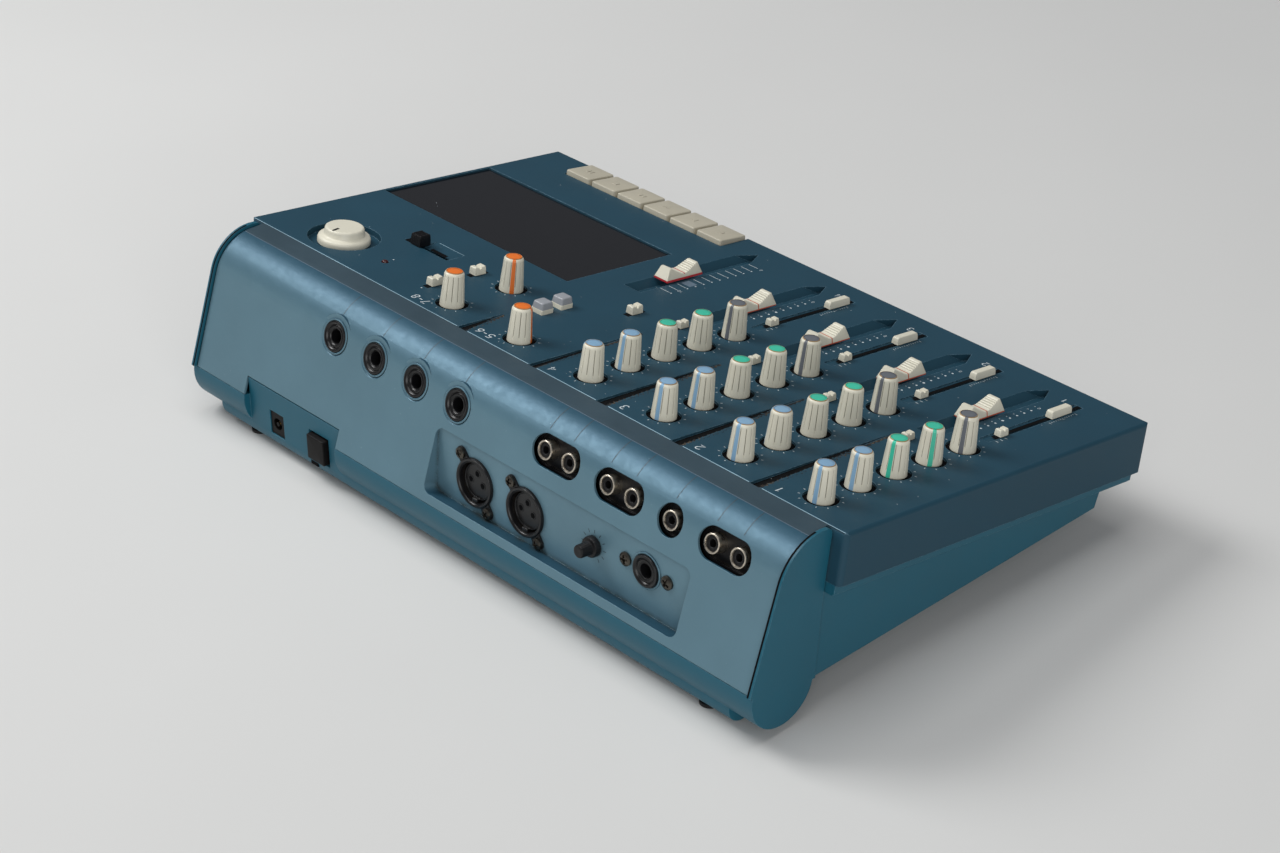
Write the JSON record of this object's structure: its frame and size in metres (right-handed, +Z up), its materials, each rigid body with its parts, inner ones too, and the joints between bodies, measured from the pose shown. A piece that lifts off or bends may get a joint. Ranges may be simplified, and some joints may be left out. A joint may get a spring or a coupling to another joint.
{
  "type": "four track cassette recorder",
  "caption": "Desktop cassette recorder with a sloping mixer panel, turning knobs, sliding faders, press keys, a smoked lid and a rear pod of connectors.",
  "frame": {"origin": "middle of the rectangle that the object covers, at the level of its feet", "axes": "+X to the right of the user who faces the panel, +Y to the rear with the connectors, +Z up"},
  "size_m": [0.37, 0.2326, 0.0958],
  "materials": {
    "cover_plastic": "moulded ABS, fine satin grain",
    "case_plastic": "moulded ABS, satin",
    "panel_paint": "satin paint on bent sheet metal",
    "cap_plastic": "moulded cream plastic with a coloured inlay",
    "key_plastic": "moulded beige plastic",
    "button_plastic": "translucent grey plastic",
    "lid_plastic": "smoked polished plastic",
    "black_plastic": "moulded black plastic",
    "jack_metal": "nickel plated",
    "screw_metal": "zinc plated, darkened",
    "rubber": "soft feet",
    "board": "glass epoxy board",
    "deck_steel": "zinc plated sheet",
    "brass": "turned",
    "hub_plastic": "moulded acetal"
  },
  "bodies": {
    "root": {"top_cover": "cover_plastic", "bottom_case": "case_plastic", "rear_panel": "panel_paint", "phone_jacks": "black_plastic", "rca_jacks": "jack_metal", "xlr_sockets": "black_plastic", "dc_inlet": "black_plastic", "screws": "screw_metal", "feet": "rubber", "main_board": "board", "tape_deck_chassis": "deck_steel", "display_module": "black_plastic"},
    "eq_high_knob_1": {"eq_high_knob_1": "cap_plastic"},
    "eq_low_knob_1": {"eq_low_knob_1": "cap_plastic"},
    "effect_1_knob_1": {"effect_1_knob_1": "cap_plastic"},
    "effect_2_knob_1": {"effect_2_knob_1": "cap_plastic"},
    "pan_knob_1": {"pan_knob_1": "cap_plastic"},
    "eq_high_knob_2": {"eq_high_knob_2": "cap_plastic"},
    "eq_low_knob_2": {"eq_low_knob_2": "cap_plastic"},
    "effect_1_knob_2": {"effect_1_knob_2": "cap_plastic"},
    "effect_2_knob_2": {"effect_2_knob_2": "cap_plastic"},
    "pan_knob_2": {"pan_knob_2": "cap_plastic"},
    "eq_high_knob_3": {"eq_high_knob_3": "cap_plastic"},
    "eq_low_knob_3": {"eq_low_knob_3": "cap_plastic"},
    "effect_1_knob_3": {"effect_1_knob_3": "cap_plastic"},
    "effect_2_knob_3": {"effect_2_knob_3": "cap_plastic"},
    "pan_knob_3": {"pan_knob_3": "cap_plastic"},
    "eq_high_knob_4": {"eq_high_knob_4": "cap_plastic"},
    "eq_low_knob_4": {"eq_low_knob_4": "cap_plastic"},
    "effect_1_knob_4": {"effect_1_knob_4": "cap_plastic"},
    "effect_2_knob_4": {"effect_2_knob_4": "cap_plastic"},
    "pan_knob_4": {"pan_knob_4": "cap_plastic"},
    "level_5_6_knob": {"level_5_6_knob": "cap_plastic"},
    "level_7_8_knob": {"level_7_8_knob": "cap_plastic"},
    "monitor_knob": {"monitor_knob": "cap_plastic"},
    "pitch_knob": {"pitch_knob": "cap_plastic"},
    "mic_trim_knob": {"mic_trim_knob": "black_plastic"},
    "fader_1": {"fader_1": "cap_plastic"},
    "fader_2": {"fader_2": "cap_plastic"},
    "fader_3": {"fader_3": "cap_plastic"},
    "fader_4": {"fader_4": "cap_plastic"},
    "master_fader": {"master_fader": "cap_plastic"},
    "trim_sliders": {"trim_sliders": "cap_plastic"},
    "input_switches": {"input_switches": "cap_plastic"},
    "effect_switches": {"effect_switches": "cap_plastic"},
    "mode_switches": {"mode_switches": "cap_plastic"},
    "slide_switch": {"slide_switch": "black_plastic"},
    "push_buttons": {"push_buttons": "button_plastic"},
    "power_button": {"power_button": "black_plastic"},
    "cassette_lid": {"cassette_lid": "lid_plastic"},
    "pause_key": {"pause_key": "key_plastic"},
    "stop_key": {"stop_key": "key_plastic"},
    "fast_forward_key": {"fast_forward_key": "key_plastic"},
    "rewind_key": {"rewind_key": "key_plastic"},
    "play_key": {"play_key": "key_plastic"},
    "record_key": {"record_key": "key_plastic"},
    "supply_hub": {"supply_hub": "hub_plastic"},
    "takeup_hub": {"takeup_hub": "hub_plastic"},
    "flywheel": {"flywheel": "brass"},
    "head_plate": {"head_plate": "deck_steel"}
  },
  "joints": [
    {"name": "eq_high_turn_1", "type": "hinge", "parent": "root", "child": "eq_high_knob_1", "pos_m": [-0.15805, 0.05736, 0.08022], "axis": [0, -0.1573, 0.9876], "range_deg": [-150, 150]},
    {"name": "eq_low_turn_1", "type": "hinge", "parent": "root", "child": "eq_low_knob_1", "pos_m": [-0.15805, 0.0363, 0.07686], "axis": [0, -0.1573, 0.9876], "range_deg": [-150, 150]},
    {"name": "effect_1_turn_1", "type": "hinge", "parent": "root", "child": "effect_1_knob_1", "pos_m": [-0.15805, 0.01523, 0.07351], "axis": [0, -0.1573, 0.9876], "range_deg": [-150, 150]},
    {"name": "effect_2_turn_1", "type": "hinge", "parent": "root", "child": "effect_2_knob_1", "pos_m": [-0.15805, -0.00583, 0.07015], "axis": [0, -0.1573, 0.9876], "range_deg": [-150, 150]},
    {"name": "pan_turn_1", "type": "hinge", "parent": "root", "child": "pan_knob_1", "pos_m": [-0.15805, -0.0269, 0.0668], "axis": [0, -0.1573, 0.9876], "range_deg": [-150, 150]},
    {"name": "eq_high_turn_2", "type": "hinge", "parent": "root", "child": "eq_high_knob_2", "pos_m": [-0.1145, 0.05736, 0.08022], "axis": [0, -0.1573, 0.9876], "range_deg": [-150, 150]},
    {"name": "eq_low_turn_2", "type": "hinge", "parent": "root", "child": "eq_low_knob_2", "pos_m": [-0.1145, 0.0363, 0.07686], "axis": [0, -0.1573, 0.9876], "range_deg": [-150, 150]},
    {"name": "effect_1_turn_2", "type": "hinge", "parent": "root", "child": "effect_1_knob_2", "pos_m": [-0.1145, 0.01523, 0.07351], "axis": [0, -0.1573, 0.9876], "range_deg": [-150, 150]},
    {"name": "effect_2_turn_2", "type": "hinge", "parent": "root", "child": "effect_2_knob_2", "pos_m": [-0.1145, -0.00583, 0.07015], "axis": [0, -0.1573, 0.9876], "range_deg": [-150, 150]},
    {"name": "pan_turn_2", "type": "hinge", "parent": "root", "child": "pan_knob_2", "pos_m": [-0.1145, -0.0269, 0.0668], "axis": [0, -0.1573, 0.9876], "range_deg": [-150, 150]},
    {"name": "eq_high_turn_3", "type": "hinge", "parent": "root", "child": "eq_high_knob_3", "pos_m": [-0.07095, 0.05736, 0.08022], "axis": [0, -0.1573, 0.9876], "range_deg": [-150, 150]},
    {"name": "eq_low_turn_3", "type": "hinge", "parent": "root", "child": "eq_low_knob_3", "pos_m": [-0.07095, 0.0363, 0.07686], "axis": [0, -0.1573, 0.9876], "range_deg": [-150, 150]},
    {"name": "effect_1_turn_3", "type": "hinge", "parent": "root", "child": "effect_1_knob_3", "pos_m": [-0.07095, 0.01523, 0.07351], "axis": [0, -0.1573, 0.9876], "range_deg": [-150, 150]},
    {"name": "effect_2_turn_3", "type": "hinge", "parent": "root", "child": "effect_2_knob_3", "pos_m": [-0.07095, -0.00583, 0.07015], "axis": [0, -0.1573, 0.9876], "range_deg": [-150, 150]},
    {"name": "pan_turn_3", "type": "hinge", "parent": "root", "child": "pan_knob_3", "pos_m": [-0.07095, -0.0269, 0.0668], "axis": [0, -0.1573, 0.9876], "range_deg": [-150, 150]},
    {"name": "eq_high_turn_4", "type": "hinge", "parent": "root", "child": "eq_high_knob_4", "pos_m": [-0.0274, 0.05736, 0.08022], "axis": [0, -0.1573, 0.9876], "range_deg": [-150, 150]},
    {"name": "eq_low_turn_4", "type": "hinge", "parent": "root", "child": "eq_low_knob_4", "pos_m": [-0.0274, 0.0363, 0.07686], "axis": [0, -0.1573, 0.9876], "range_deg": [-150, 150]},
    {"name": "effect_1_turn_4", "type": "hinge", "parent": "root", "child": "effect_1_knob_4", "pos_m": [-0.0274, 0.01523, 0.07351], "axis": [0, -0.1573, 0.9876], "range_deg": [-150, 150]},
    {"name": "effect_2_turn_4", "type": "hinge", "parent": "root", "child": "effect_2_knob_4", "pos_m": [-0.0274, -0.00583, 0.07015], "axis": [0, -0.1573, 0.9876], "range_deg": [-150, 150]},
    {"name": "pan_turn_4", "type": "hinge", "parent": "root", "child": "pan_knob_4", "pos_m": [-0.0274, -0.0269, 0.0668], "axis": [0, -0.1573, 0.9876], "range_deg": [-150, 150]},
    {"name": "level_5_6_turn", "type": "hinge", "parent": "root", "child": "level_5_6_knob", "pos_m": [0.017, 0.05736, 0.08022], "axis": [0, -0.1573, 0.9876], "range_deg": [-150, 150]},
    {"name": "level_7_8_turn", "type": "hinge", "parent": "root", "child": "level_7_8_knob", "pos_m": [0.061, 0.05736, 0.08022], "axis": [0, -0.1573, 0.9876], "range_deg": [-150, 150]},
    {"name": "monitor_turn", "type": "hinge", "parent": "root", "child": "monitor_knob", "pos_m": [0.061, 0.02339, 0.07481], "axis": [0, -0.1573, 0.9876], "range_deg": [-150, 150]},
    {"name": "pitch_turn", "type": "hinge", "parent": "root", "child": "pitch_knob", "pos_m": [0.145, 0.04995, 0.07904], "axis": [0, -0.1573, 0.9876], "range_deg": [-150, 150]},
    {"name": "mic_trim_turn", "type": "hinge", "parent": "root", "child": "mic_trim_knob", "pos_m": [-0.079, 0.10431, 0.04247], "axis": [0, 0.9948, 0.1016], "range_deg": [-150, 150]},
    {"name": "fader_slide_1", "type": "slide", "parent": "root", "child": "fader_1", "axis": [0, 0.9876, 0.1573], "range_m": [-0.0346, 0.0226]},
    {"name": "fader_slide_2", "type": "slide", "parent": "root", "child": "fader_2", "axis": [0, 0.9876, 0.1573], "range_m": [-0.0346, 0.0226]},
    {"name": "fader_slide_3", "type": "slide", "parent": "root", "child": "fader_3", "axis": [0, 0.9876, 0.1573], "range_m": [-0.0354, 0.0218]},
    {"name": "fader_slide_4", "type": "slide", "parent": "root", "child": "fader_4", "axis": [0, 0.9876, 0.1573], "range_m": [-0.0365, 0.0207]},
    {"name": "master_slide", "type": "slide", "parent": "root", "child": "master_fader", "axis": [0, 0.9876, 0.1573], "range_m": [-0.04, 0.0172]},
    {"name": "trim_slide", "type": "slide", "parent": "root", "child": "trim_sliders", "axis": [0, 0.9876, 0.1573], "range_m": [-0.0037, 0.0037]},
    {"name": "input_slide", "type": "slide", "parent": "root", "child": "input_switches", "axis": [0, 0.9876, 0.1573], "range_m": [-0.003, 0]},
    {"name": "effect_slide", "type": "slide", "parent": "root", "child": "effect_switches", "axis": [0, 0.9876, 0.1573], "range_m": [-0.003, 0]},
    {"name": "mode_slide", "type": "slide", "parent": "root", "child": "mode_switches", "axis": [0, 0.9876, 0.1573], "range_m": [0, 0.003]},
    {"name": "slide_switch_slide", "type": "slide", "parent": "root", "child": "slide_switch", "axis": [1, 0, 0], "range_m": [-0.0187, 0.0067]},
    {"name": "push_press", "type": "slide", "parent": "root", "child": "push_buttons", "axis": [0, -0.1573, 0.9876], "range_m": [-0.0015, 0], "stiffness_N_per_m": 300},
    {"name": "power_press", "type": "slide", "parent": "root", "child": "power_button", "axis": [0, 1, 0], "range_m": [-0.0025, 0], "stiffness_N_per_m": 300},
    {"name": "lid_swing", "type": "hinge", "parent": "root", "child": "cassette_lid", "pos_m": [0.1184, -0.00648, 0.06782], "axis": [1, 0, 0], "range_deg": [-70, 0]},
    {"name": "pause_press", "type": "slide", "parent": "root", "child": "pause_key", "axis": [0, -0.1573, 0.9876], "range_m": [-0.003, 0], "stiffness_N_per_m": 300},
    {"name": "stop_press", "type": "slide", "parent": "root", "child": "stop_key", "axis": [0, -0.1573, 0.9876], "range_m": [-0.003, 0], "stiffness_N_per_m": 300},
    {"name": "fast_forward_press", "type": "slide", "parent": "root", "child": "fast_forward_key", "axis": [0, -0.1573, 0.9876], "range_m": [-0.003, 0], "stiffness_N_per_m": 300},
    {"name": "rewind_press", "type": "slide", "parent": "root", "child": "rewind_key", "axis": [0, -0.1573, 0.9876], "range_m": [-0.003, 0], "stiffness_N_per_m": 300},
    {"name": "play_press", "type": "slide", "parent": "root", "child": "play_key", "axis": [0, -0.1573, 0.9876], "range_m": [-0.003, 0], "stiffness_N_per_m": 300},
    {"name": "record_press", "type": "slide", "parent": "root", "child": "record_key", "axis": [0, -0.1573, 0.9876], "range_m": [-0.003, 0], "stiffness_N_per_m": 300},
    {"name": "supply_spin", "type": "hinge", "parent": "root", "child": "supply_hub", "pos_m": [0.10695, -0.03664, 0.0531], "axis": [0, -0.1573, 0.9876], "continuous": true},
    {"name": "takeup_spin", "type": "hinge", "parent": "root", "child": "takeup_hub", "pos_m": [0.14945, -0.03664, 0.0531], "axis": [0, -0.1573, 0.9876], "continuous": true},
    {"name": "flywheel_spin", "type": "hinge", "parent": "root", "child": "flywheel", "pos_m": [0.1522, -0.05948, 0.04136], "axis": [0, -0.1573, 0.9876], "continuous": true},
    {"name": "head_plate_slide", "type": "slide", "parent": "root", "child": "head_plate", "axis": [0, 0.9876, 0.1573], "range_m": [0, 0.004]}
  ],
  "couplings": [
    {"joint": "head_plate_slide", "follows": "play_press", "ratio": -1.3333}
  ]
}
